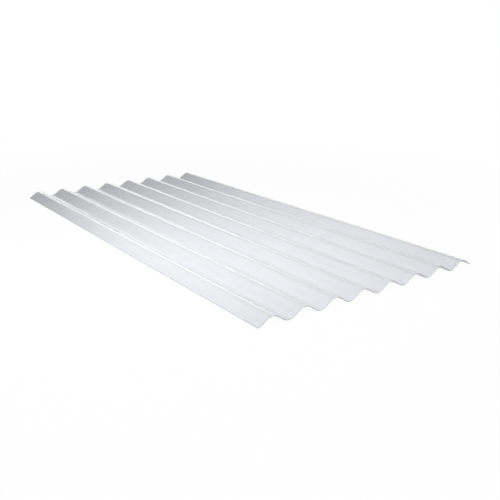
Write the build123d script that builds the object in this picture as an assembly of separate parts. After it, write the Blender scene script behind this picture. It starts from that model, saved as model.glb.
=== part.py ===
from build123d import *
import os
from math import ceil, cos, radians, tan

# Corrugated roofing sheet: one moulded piece of translucent plastic, waved from edge to edge.
# X runs across the waves, Y along them and Z up. The origin is under the middle of the sheet,
# on the level that its valleys rest on.

# Driving dimensions, in millimetres and degrees
PITCH = 130.0  # crest to crest
DEPTH = 30.0  # underside of a valley to top of a crest
THICKNESS = 1.5  # wall, the same all over
FLANK_ANGLE = 33.0  # slope of the straight stretch between a crest and a valley
CREST_COUNT = 8
EDGE_MARGIN = 53.0  # outermost crest line to the trimmed long edge
LENGTH = 2000.0  # along the waves

# Overall width after trimming
SHEET_WIDTH = (CREST_COUNT - 1) * PITCH + 2 * EDGE_MARGIN


def wave_line():
    """Middle line of the wall, drawn as a zigzag whose corners are rounded into crests and valleys."""
    slope = radians(FLANK_ANGLE)
    zigzag_rise = PITCH / 2 * tan(slope)
    wave_rise = DEPTH - THICKNESS
    # Rounding lowers each corner by this much, which sets the radius that meets both flanks
    corner_cut = (zigzag_rise - wave_rise) / 2
    bend_radius = corner_cut / (1 / cos(slope) - 1)

    # The web is formed wider than the sheet, so that the trim always falls on a whole wave
    spare_waves = ceil(EDGE_MARGIN / PITCH) + 1
    first_crest = -(CREST_COUNT - 1) * PITCH / 2
    corners = []
    for half_wave in range(-2 * spare_waves, 2 * (CREST_COUNT - 1 + spare_waves) + 1):
        side = 1 if half_wave % 2 == 0 else -1
        corners.append((first_crest + half_wave * PITCH / 2, DEPTH / 2 + side * zigzag_rise / 2))
    return FilletPolyline(*corners, radius=bend_radius)


def cross_section():
    """Wall section across the waves: the middle line thickened both ways, then trimmed to width."""
    web = make_face(offset(wave_line(), THICKNESS / 2).edges())
    trim = Pos(0, DEPTH / 2) * Rectangle(SHEET_WIDTH, 2 * DEPTH)
    return Plane.XZ * (web & trim)


def corrugated_sheet():
    """The whole sheet: its section drawn out along the waves, half of the length each way."""
    return extrude(cross_section(), LENGTH / 2, both=True)


os.makedirs("parts", exist_ok=True)
export_step(corrugated_sheet(), "parts/corrugated_sheet.step")
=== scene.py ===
"""Corrugated roofing sheet of translucent plastic, on a pale studio floor.

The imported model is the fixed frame. The sheet's CAD node keeps its place and is stood for by a
smoother mesh of the same size, which has finer bends and softened saw cuts.
X runs across the waves, Y along them and Z up, in metres.
"""

import logging
import math
from dataclasses import dataclass, field
from enum import IntEnum

import bmesh
import bpy
from mathutils import Matrix, Vector


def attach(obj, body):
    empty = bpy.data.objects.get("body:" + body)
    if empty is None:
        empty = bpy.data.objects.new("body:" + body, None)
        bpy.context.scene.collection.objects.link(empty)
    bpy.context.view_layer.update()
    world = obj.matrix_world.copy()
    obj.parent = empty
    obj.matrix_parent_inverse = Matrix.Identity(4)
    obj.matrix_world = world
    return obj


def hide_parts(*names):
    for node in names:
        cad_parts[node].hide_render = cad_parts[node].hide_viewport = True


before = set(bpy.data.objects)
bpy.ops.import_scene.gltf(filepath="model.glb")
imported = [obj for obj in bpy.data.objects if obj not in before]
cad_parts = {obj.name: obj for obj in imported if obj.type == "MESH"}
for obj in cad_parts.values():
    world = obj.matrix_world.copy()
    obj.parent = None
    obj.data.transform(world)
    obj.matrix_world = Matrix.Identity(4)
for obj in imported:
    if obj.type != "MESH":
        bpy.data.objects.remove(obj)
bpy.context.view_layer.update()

logging.basicConfig(level=logging.INFO, format="%(message)s")
LOG = logging.getLogger("corrugated_sheet")

MM = 0.001
ACROSS = Vector((1.0, 0.0, 0.0))
ALONG = Vector((0.0, 1.0, 0.0))
WHITE = "#FFFFFF"
# A Mix node has an A and a B for each kind of data, so its colour sockets go by number
COLOUR_A = 6
COLOUR_B = 7

Link = tuple[bpy.types.Node, str]
Geometry = list[bmesh.types.BMVert | bmesh.types.BMEdge | bmesh.types.BMFace]


def linear(hex_colour: str) -> tuple[float, float, float, float]:
    """Turns an sRGB hex colour into the linear colour that a socket takes.

    Args:
        hex_colour: six hex digits after a hash sign.

    Returns:
        Red, green, blue and an alpha of 1.
    """
    shares = [int(hex_colour[start : start + 2], 16) / 255 for start in (1, 3, 5)]
    red, green, blue = (
        share / 12.92 if share <= 0.04045 else ((share + 0.055) / 1.055) ** 2.4 for share in shares
    )
    return red, green, blue, 1.0


def add_node(
    tree: bpy.types.NodeTree,
    kind: str,
    settings: dict[str, object] | None = None,
    values: dict[str | int, object] | None = None,
    links: dict[str | int, Link] | None = None,
) -> bpy.types.Node:
    """Adds one node, sets it up and joins it to nodes that are already there.

    Args:
        tree: node tree that the node goes into.
        kind: Blender's name for the kind of node.
        settings: properties of the node itself.
        values: constants for its input sockets.
        links: for an input socket, the node and the name of the output that feeds it.

    Returns:
        The new node.
    """
    node = tree.nodes.new(kind)
    for name, value in (settings or {}).items():
        setattr(node, name, value)
    for socket, value in (values or {}).items():
        node.inputs[socket].default_value = value
    for socket, (source, output) in (links or {}).items():
        tree.links.new(source.outputs[output], node.inputs[socket])
    return node


def empty_tree(owner: bpy.types.Material | bpy.types.World) -> bpy.types.NodeTree:
    """Turns nodes on for a material or a world and clears them.

    Args:
        owner: the material or world.

    Returns:
        Its empty node tree.
    """
    owner.use_nodes = True
    owner.node_tree.nodes.clear()
    return owner.node_tree


def everything_in(bm: bmesh.types.BMesh) -> Geometry:
    """Lists all corners, edges and faces of a mesh."""
    return bm.verts[:] + bm.edges[:] + bm.faces[:]


def corners_of(parts: Geometry) -> list[bmesh.types.BMVert]:
    """Picks the corners out of what a mesh operator gives back."""
    return [part for part in parts if isinstance(part, bmesh.types.BMVert)]


class SheetFace(IntEnum):
    """Material slots of the sheet's mesh."""

    SKIN = 0
    SAWN = 1


@dataclass(frozen=True)
class ExtrudedSkin:
    """Opal polycarbonate, extruded and waved while warm."""

    name: str = "opal_polycarbonate_extruded"
    tint: str = "#EFF0F5"
    streak_tint: str = "#EBEDF2"
    roughness: float = 0.1
    roughness_swing: float = 0.01
    ior: float = 1.585
    milkiness: float = 0.15
    scatter_depth: float = 1.5 * MM
    # Real die lines are too fine to show, so they are drawn this coarse
    die_line_spacing: float = 9.0 * MM
    die_line_length: float = 2250.0 * MM
    die_line_height: float = 0.0015 * MM
    die_line_share: float = 0.4
    cloud_size: float = 1000.0 * MM / 3
    # Noise keeps near its middle, so these spans of it are spread over the whole range
    tint_span: tuple[float, float] = (0.35, 0.65)
    haze_span: tuple[float, float] = (0.3, 0.7)

    def material(self) -> bpy.types.Material:
        """Builds the material of the sheet's two skins.

        Returns:
            The material.
        """
        # The eye sees soft-edged gloss on a cool white body, and light in the depth of the wall
        material = bpy.data.materials.new(self.name)
        tree = empty_tree(material)
        place = add_node(tree, "ShaderNodeTexCoord")
        # Die lines run the whole length of the sheet, so the pattern is drawn out along Y
        stretched = add_node(
            tree,
            "ShaderNodeMapping",
            values={"Scale": (1.0, self.die_line_spacing / self.die_line_length, 1.0)},
            links={"Vector": (place, "Object")},
        )
        die_lines = add_node(
            tree,
            "ShaderNodeTexNoise",
            values={"Scale": 1.0 / self.die_line_spacing, "Detail": 2.0, "Roughness": 0.5},
            links={"Vector": (stretched, "Vector")},
        )
        clouds = add_node(
            tree,
            "ShaderNodeTexNoise",
            values={"Scale": 1.0 / self.cloud_size, "Detail": 2.0, "Roughness": 0.5},
            links={"Vector": (place, "Object")},
        )
        streaks = add_node(
            tree,
            "ShaderNodeMix",
            settings={"data_type": "FLOAT"},
            values={"Factor": self.die_line_share},
            links={"A": (clouds, "Fac"), "B": (die_lines, "Fac")},
        )
        streak_share = add_node(
            tree,
            "ShaderNodeMapRange",
            values={"From Min": self.tint_span[0], "From Max": self.tint_span[1]},
            links={"Value": (streaks, "Result")},
        )
        tinted = add_node(
            tree,
            "ShaderNodeMix",
            settings={"data_type": "RGBA"},
            values={COLOUR_A: linear(self.tint), COLOUR_B: linear(self.streak_tint)},
            links={"Factor": (streak_share, "Result")},
        )
        haze = add_node(
            tree,
            "ShaderNodeMapRange",
            values={
                "From Min": self.haze_span[0],
                "From Max": self.haze_span[1],
                "To Min": self.roughness - self.roughness_swing,
                "To Max": self.roughness + self.roughness_swing,
            },
            links={"Value": (clouds, "Fac")},
        )
        relief = add_node(
            tree,
            "ShaderNodeBump",
            values={"Strength": 1.0, "Distance": self.die_line_height},
            links={"Height": (die_lines, "Fac")},
        )
        plastic = add_node(
            tree,
            "ShaderNodeBsdfPrincipled",
            settings={"subsurface_method": "RANDOM_WALK"},
            values={
                "IOR": self.ior,
                "Subsurface Weight": self.milkiness,
                "Subsurface Radius": (1.0, 1.0, 1.0),
                "Subsurface Scale": self.scatter_depth,
            },
            links={
                "Base Color": (tinted, "Result"),
                "Roughness": (haze, "Result"),
                "Normal": (relief, "Normal"),
            },
        )
        add_node(tree, "ShaderNodeOutputMaterial", links={"Surface": (plastic, "BSDF")})
        return material


@dataclass(frozen=True)
class SawnEdge:
    """Opal polycarbonate, cut with a fine saw."""

    name: str = "opal_polycarbonate_sawn"
    tint: str = "#8092AC"
    chatter_tint: str = "#70819D"
    roughness: float = 0.6
    ior: float = 1.585
    tooth_spacing: float = 1.2 * MM
    tooth_height: float = 0.05 * MM

    def material(self) -> bpy.types.Material:
        """Builds the material of the cut edges.

        Returns:
            The material.
        """
        # The eye sees a matt line, darker and bluer than the skins because it looks into the wall
        material = bpy.data.materials.new(self.name)
        tree = empty_tree(material)
        place = add_node(tree, "ShaderNodeTexCoord")
        teeth = add_node(
            tree,
            "ShaderNodeTexNoise",
            values={"Scale": 1.0 / self.tooth_spacing, "Detail": 2.0, "Roughness": 0.6},
            links={"Vector": (place, "Object")},
        )
        tinted = add_node(
            tree,
            "ShaderNodeMix",
            settings={"data_type": "RGBA"},
            values={COLOUR_A: linear(self.tint), COLOUR_B: linear(self.chatter_tint)},
            links={"Factor": (teeth, "Fac")},
        )
        relief = add_node(
            tree,
            "ShaderNodeBump",
            values={"Strength": 1.0, "Distance": self.tooth_height},
            links={"Height": (teeth, "Fac")},
        )
        plastic = add_node(
            tree,
            "ShaderNodeBsdfPrincipled",
            values={"IOR": self.ior, "Roughness": self.roughness},
            links={"Base Color": (tinted, "Result"), "Normal": (relief, "Normal")},
        )
        add_node(tree, "ShaderNodeOutputMaterial", links={"Surface": (plastic, "BSDF")})
        return material


@dataclass
class CorrugatedSheet:
    """The roofing sheet: one wall, waved from side to side, the same all along its length."""

    node: str = "corrugated_sheet"
    pitch: float = 130.0 * MM
    depth: float = 30.0 * MM
    wall: float = 1.5 * MM
    flank_angle: float = math.radians(33.0)
    crests: int = 8
    edge_margin: float = 53.0 * MM
    length: float = 2000.0 * MM
    bend_steps: int = 25
    flank_steps: int = 3
    weld: float = 0.01 * MM
    cut_bevel: float = 0.2 * MM
    cut_bevel_steps: int = 2
    cut_margin: float = 1.0 * MM
    # A face is sawn if it looks along X or Y by more than this share
    sawn_facing: float = 0.9
    # Edges that turn by more than this lie round the saw cuts
    cut_turn: float = math.radians(40.0)
    # Edges that turn by more than this look sharp
    sharp_turn: float = math.radians(50.0)
    skin: ExtrudedSkin = field(default_factory=ExtrudedSkin)
    edge: SawnEdge = field(default_factory=SawnEdge)

    @property
    def bend_radius(self) -> float:
        """Radius of the wall's middle line in a crest or valley that meets both flanks."""
        corner_cut = (self.pitch / 2 * math.tan(self.flank_angle) - (self.depth - self.wall)) / 2
        return corner_cut / (1 / math.cos(self.flank_angle) - 1)

    @property
    def flank_length(self) -> float:
        """Length of the straight stretch between a crest's bend and a valley's."""
        straight = self.pitch / 2 - 2 * self.bend_radius * math.sin(self.flank_angle)
        return straight / math.cos(self.flank_angle)

    @property
    def first_crest(self) -> float:
        """Place of the leftmost crest on X."""
        return -(self.crests - 1) * self.pitch / 2

    @property
    def half_width(self) -> float:
        """Distance from the sheet's middle to each long edge."""
        return (self.crests - 1) * self.pitch / 2 + self.edge_margin

    def half_wave(self, bm: bmesh.types.BMesh) -> None:
        """Sweeps the wall's thickness from the first crest, round its bend and down to a valley.

        Args:
            bm: empty mesh that takes the strip of wall section.
        """
        crest_x = self.first_crest
        start_y = -self.length / 2
        top = bm.verts.new((crest_x, start_y, self.depth))
        underside = bm.verts.new((crest_x, start_y, self.depth - self.wall))
        end = [top, underside, bm.edges.new((top, underside))]
        crest_centre = Vector((crest_x, start_y, self.depth - self.wall / 2 - self.bend_radius))
        end = self.bend(bm, end, crest_centre, self.flank_angle)
        slope = Vector((math.cos(self.flank_angle), 0.0, -math.sin(self.flank_angle)))
        flank_step = slope * self.flank_length / self.flank_steps
        for _ in range(self.flank_steps):
            edges = [part for part in end if isinstance(part, bmesh.types.BMEdge)]
            end = bmesh.ops.extrude_edge_only(bm, edges=edges)["geom"]
            bmesh.ops.translate(bm, vec=flank_step, verts=corners_of(end))
        valley_centre = Vector((crest_x + self.pitch / 2, start_y, self.wall / 2 + self.bend_radius))
        self.bend(bm, end, valley_centre, -self.flank_angle)

    def bend(self, bm: bmesh.types.BMesh, end: Geometry, centre: Vector, angle: float) -> Geometry:
        """Sweeps the end of the wall section round a bend.

        Args:
            bm: mesh with the wall section so far.
            end: the section's last edge and its corners.
            centre: centre of the bend.
            angle: how far it turns, from upwards towards the right.

        Returns:
            The section's new last edge and its corners.
        """
        swept = bmesh.ops.spin(
            bm,
            geom=[part for part in end if not isinstance(part, bmesh.types.BMFace)],
            cent=centre,
            axis=ALONG,
            angle=angle,
            steps=self.bend_steps,
        )
        return swept["geom_last"]

    def whole_section(self, bm: bmesh.types.BMesh) -> None:
        """Repeats the half wave over the sheet and trims both sides to width.

        Args:
            bm: mesh with the first half wave.
        """
        bmesh.ops.mirror(
            bm,
            geom=everything_in(bm),
            matrix=Matrix.Translation(ACROSS * self.first_crest).inverted(),
            merge_dist=self.weld,
            axis="X",
        )
        wave = everything_in(bm)
        for step in range(1, self.crests):
            copied = bmesh.ops.duplicate(bm, geom=wave)["geom"]
            bmesh.ops.translate(bm, vec=ACROSS * (step * self.pitch), verts=corners_of(copied))
        bmesh.ops.remove_doubles(bm, verts=bm.verts[:], dist=self.weld)
        for side in (-ACROSS, ACROSS):
            bmesh.ops.bisect_plane(
                bm,
                geom=everything_in(bm),
                plane_co=side * self.half_width,
                plane_no=side,
                clear_outer=True,
            )

    def draw_out(self, bm: bmesh.types.BMesh) -> None:
        """Extrudes the wall section along the waves and softens the saw cuts.

        Args:
            bm: mesh with the whole wall section, which becomes the closed sheet.
        """
        pulled = bmesh.ops.extrude_face_region(bm, geom=bm.faces[:])["geom"]
        bmesh.ops.translate(bm, vec=ALONG * self.length, verts=corners_of(pulled))
        self.frame_cuts(bm)
        bmesh.ops.recalc_face_normals(bm, faces=bm.faces[:])
        for face in bm.faces:
            sawn = max(abs(face.normal.x), abs(face.normal.y)) > self.sawn_facing
            face.material_index = SheetFace.SAWN if sawn else SheetFace.SKIN
        bmesh.ops.bevel(
            bm,
            geom=[edge for edge in bm.edges if edge.calc_face_angle(0.0) > self.cut_turn],
            offset=self.cut_bevel,
            offset_type="OFFSET",
            segments=self.cut_bevel_steps,
            profile=0.5,
            affect="EDGES",
            clamp_overlap=True,
            material=-1,
        )

    def frame_cuts(self, bm: bmesh.types.BMesh) -> None:
        """Adds a line of edges close to each cut, so that a cut's soft shading stays beside it.

        Args:
            bm: mesh of the closed sheet.
        """
        for way, reach in ((ACROSS, self.half_width), (ALONG, self.length / 2)):
            for side in (-way, way):
                bmesh.ops.bisect_plane(
                    bm,
                    geom=everything_in(bm),
                    plane_co=side * (reach - self.cut_margin),
                    plane_no=side,
                )

    def build(self) -> bpy.types.Object:
        """Makes the sheet's object in its place.

        Returns:
            The object, with its mesh and its two materials.
        """
        bm = bmesh.new()
        self.half_wave(bm)
        self.whole_section(bm)
        self.draw_out(bm)
        bmesh.ops.recalc_face_normals(bm, faces=bm.faces[:])
        for face in bm.faces:
            face.smooth = True
        for edge in bm.edges:
            edge.smooth = edge.calc_face_angle(0.0) < self.sharp_turn
        mesh = bpy.data.meshes.new("roofing_sheet")
        bm.to_mesh(mesh)
        bm.free()
        mesh.materials.append(self.skin.material())
        mesh.materials.append(self.edge.material())
        sheet = bpy.data.objects.new("roofing_sheet", mesh)
        bpy.context.scene.collection.objects.link(sheet)
        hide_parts(self.node)
        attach(sheet, "root")
        return sheet


@dataclass(frozen=True)
class Softbox:
    """A rectangular lamp behind a diffuser, with a grid where its light is kept from spreading."""

    name: str
    place: tuple[float, float, float]
    aim: tuple[float, float, float]
    width: float
    height: float
    brightness: float
    spread: float = math.radians(180.0)

    @property
    def power(self) -> float:
        """Watts that give the diffuser its brightness, where 1 is as bright as white."""
        return math.pi * self.width * self.height * self.brightness

    def build(self) -> bpy.types.Object:
        """Hangs the lamp and turns it to what it lights.

        Returns:
            The lamp's object.
        """
        light = bpy.data.lights.new(self.name, "AREA")
        light.shape = "RECTANGLE"
        light.size = self.width
        light.size_y = self.height
        light.energy = self.power
        light.spread = self.spread
        lamp = bpy.data.objects.new(self.name, light)
        lamp.visible_camera = False
        beam = Vector(self.aim) - Vector(self.place)
        turn = beam.to_track_quat("-Z", "Y").to_matrix().to_4x4()
        lamp.matrix_world = Matrix.Translation(self.place) @ turn
        bpy.context.scene.collection.objects.link(lamp)
        return lamp


# The first three light the flanks, and the two at the back are what the crest lines mirror
SOFTBOXES = (
    Softbox(
        name="overhead",
        place=(0.0, -0.5, 2.4),
        aim=(0.0, -0.5, 0.0),
        width=2.0,
        height=2.0,
        brightness=1.2,
        spread=math.radians(120.0),
    ),
    Softbox(
        name="left_key",
        place=(-1.5, -0.3, 1.4),
        aim=(-0.3, -0.24, 0.0),
        width=1.2,
        height=1.2,
        brightness=1.1,
        spread=math.radians(100.0),
    ),
    Softbox(
        name="near_key",
        place=(-1.6, -1.2, 2.0),
        aim=(-0.3, -0.8, 0.0),
        width=1.4,
        height=1.4,
        brightness=0.6,
        spread=math.radians(120.0),
    ),
    Softbox(
        name="back_panel",
        place=(5.25, 13.0, 3.5),
        aim=(0.0, 0.0, 3.5),
        width=12.0,
        height=2.1,
        brightness=1.05,
    ),
    Softbox(
        name="back_upper",
        place=(6.6, 12.4, 5.0),
        aim=(0.0, 0.0, 5.0),
        width=4.0,
        height=1.9,
        brightness=0.8,
    ),
)


@dataclass(frozen=True)
class Camera:
    """The photograph's viewpoint, fitted to the sheet's outline."""

    azimuth: float = math.radians(-36.4)
    elevation: float = math.radians(17.975)
    roll: float = math.radians(0.5)
    target: tuple[float, float, float] = (-0.1037, -0.4064, 0.015)
    distance: float = 2.674
    lens: float = 48.3
    sensor: float = 36.0

    def build(self) -> bpy.types.Object:
        """Places the camera and makes it the scene's own.

        Returns:
            The camera's object.
        """
        data = bpy.data.cameras.new("camera")
        data.lens = self.lens
        data.sensor_width = self.sensor
        back = Vector(
            (
                math.sin(self.azimuth) * math.cos(self.elevation),
                -math.cos(self.azimuth) * math.cos(self.elevation),
                math.sin(self.elevation),
            )
        )
        right = Vector((math.cos(self.azimuth), math.sin(self.azimuth), 0.0))
        turn = Matrix((right, back.cross(right), back)).transposed()
        camera = bpy.data.objects.new("camera", data)
        camera.matrix_world = (
            Matrix.Translation(Vector(self.target) + back * self.distance)
            @ turn.to_4x4()
            @ Matrix.Rotation(self.roll, 4, "Z")
        )
        bpy.context.scene.collection.objects.link(camera)
        bpy.context.scene.camera = camera
        return camera


@dataclass(frozen=True)
class Studio:
    """Pale floor with a low white backdrop all round it, dim even light and softboxes."""

    floor_colour: str = "#F4F4F4"
    shown_white: float = 0.97
    fade_start: float = 1.0
    fade_end: float = 3.0
    reach: float = 30.0
    backdrop_top: float = math.radians(16.0)
    backdrop_steps: int = 64
    ambience: float = 0.2
    softboxes: tuple[Softbox, ...] = SOFTBOXES

    def floor(self) -> bpy.types.Object:
        """Lays the floor, which shows as white and keeps the sheet's shadow.

        Returns:
            The floor's object.
        """
        bm = bmesh.new()
        bmesh.ops.create_grid(bm, x_segments=1, y_segments=1, size=self.reach)
        # Matt floor paint: the eye sees plain white with the sheet's faint shadow on it
        material = bpy.data.materials.new("painted_studio_floor")
        tree = empty_tree(material)
        paint = add_node(tree, "ShaderNodeBsdfDiffuse", values={"Color": linear(self.floor_colour)})
        place = add_node(tree, "ShaderNodeTexCoord")
        distance = add_node(
            tree,
            "ShaderNodeVectorMath",
            settings={"operation": "LENGTH"},
            links={0: (place, "Object")},
        )
        # The shadow shows near the sheet, and the floor fades into the backdrop further out
        share = add_node(
            tree,
            "ShaderNodeMapRange",
            values={
                "From Min": self.fade_start,
                "From Max": self.fade_end,
                "To Min": self.shown_white,
                "To Max": 1.0,
            },
            links={"Value": (distance, "Value")},
        )
        seen = add_node(
            tree,
            "ShaderNodeMath",
            settings={"operation": "MULTIPLY"},
            links={0: self.sight(tree), 1: (share, "Result")},
        )
        self.show_white(tree, (paint, "BSDF"), (seen, "Value"))
        return self.set_down("studio_floor", bm, material)

    def backdrop(self) -> bpy.types.Object:
        """Stands a paper backdrop round the floor, which shows as white up to a low angle.

        Returns:
            The backdrop's object.
        """
        bm = bmesh.new()
        foot = bm.verts.new((self.reach, 0.0, 0.0))
        top = bm.verts.new((self.reach, 0.0, self.reach * math.tan(self.backdrop_top)))
        bmesh.ops.spin(
            bm,
            geom=[foot, top, bm.edges.new((foot, top))],
            cent=(0.0, 0.0, 0.0),
            axis=(0.0, 0.0, 1.0),
            angle=2 * math.pi,
            steps=self.backdrop_steps,
            use_merge=True,
        )
        # Backdrop paper: the eye sees plain white, and the sheet gets only dim even light from it
        material = bpy.data.materials.new("backdrop_paper")
        tree = empty_tree(material)
        glow = add_node(
            tree,
            "ShaderNodeEmission",
            values={"Color": linear(WHITE), "Strength": self.ambience},
        )
        self.show_white(tree, (glow, "Emission"), self.sight(tree))
        return self.set_down("studio_backdrop", bm, material)

    @staticmethod
    def sight(tree: bpy.types.NodeTree) -> Link:
        """Tells what is seen by eye, in gloss or through plastic from what only gives light.

        Args:
            tree: node tree of the surface's material.

        Returns:
            The output that is 1 for what is seen and 0 for what isn't.
        """
        path = add_node(tree, "ShaderNodeLightPath")
        by_eye = add_node(
            tree,
            "ShaderNodeMath",
            settings={"operation": "MAXIMUM"},
            links={0: (path, "Is Camera Ray"), 1: (path, "Is Glossy Ray")},
        )
        any_way = add_node(
            tree,
            "ShaderNodeMath",
            settings={"operation": "MAXIMUM"},
            links={0: (by_eye, "Value"), 1: (path, "Is Transmission Ray")},
        )
        return any_way, "Value"

    @staticmethod
    def show_white(tree: bpy.types.NodeTree, plain: Link, share: Link) -> None:
        """Mixes plain white into a surface and ends its material.

        Args:
            tree: node tree of the surface's material.
            plain: the shader that light falling on other things comes from.
            share: output that says how much of the surface is plain white.
        """
        white = add_node(tree, "ShaderNodeEmission", values={"Color": linear(WHITE), "Strength": 1.0})
        shown = add_node(
            tree,
            "ShaderNodeMixShader",
            links={0: share, 1: plain, 2: (white, "Emission")},
        )
        add_node(tree, "ShaderNodeOutputMaterial", links={"Surface": (shown, "Shader")})

    @staticmethod
    def set_down(name: str, bm: bmesh.types.BMesh, material: bpy.types.Material) -> bpy.types.Object:
        """Makes a stage object, which stands round the part and isn't a piece of it.

        Args:
            name: name of the object and its mesh.
            bm: mesh that is used up for it.
            material: its one material.

        Returns:
            The object.
        """
        mesh = bpy.data.meshes.new(name)
        bm.to_mesh(mesh)
        bm.free()
        mesh.materials.append(material)
        stage = bpy.data.objects.new(name, mesh)
        bpy.context.scene.collection.objects.link(stage)
        return stage

    def daylight(self) -> None:
        """Sets the even light from all round."""
        world = bpy.data.worlds.new("studio_daylight")
        bpy.context.scene.world = world
        tree = empty_tree(world)
        even = add_node(
            tree,
            "ShaderNodeBackground",
            values={"Color": linear(WHITE), "Strength": self.ambience},
        )
        add_node(tree, "ShaderNodeOutputWorld", links={"Surface": (even, "Background")})

    def build(self) -> list[bpy.types.Object]:
        """Sets up the floor, the backdrop, the even light and the lamps.

        Returns:
            The floor, the backdrop and the lamps.
        """
        stage = [self.floor(), self.backdrop()]
        self.daylight()
        return stage + [softbox.build() for softbox in self.softboxes]


def main() -> None:
    """Builds the camera, the sheet and the studio in order, and reports each piece."""
    bpy.context.scene.view_settings.view_transform = "Standard"
    for piece in (Camera().build(), CorrugatedSheet().build(), *Studio().build()):
        faces = f" of {len(piece.data.polygons)} faces" if piece.type == "MESH" else ""
        LOG.info("%s: %s%s", piece.name, piece.type.lower(), faces)


if __name__ == "__main__":
    main()
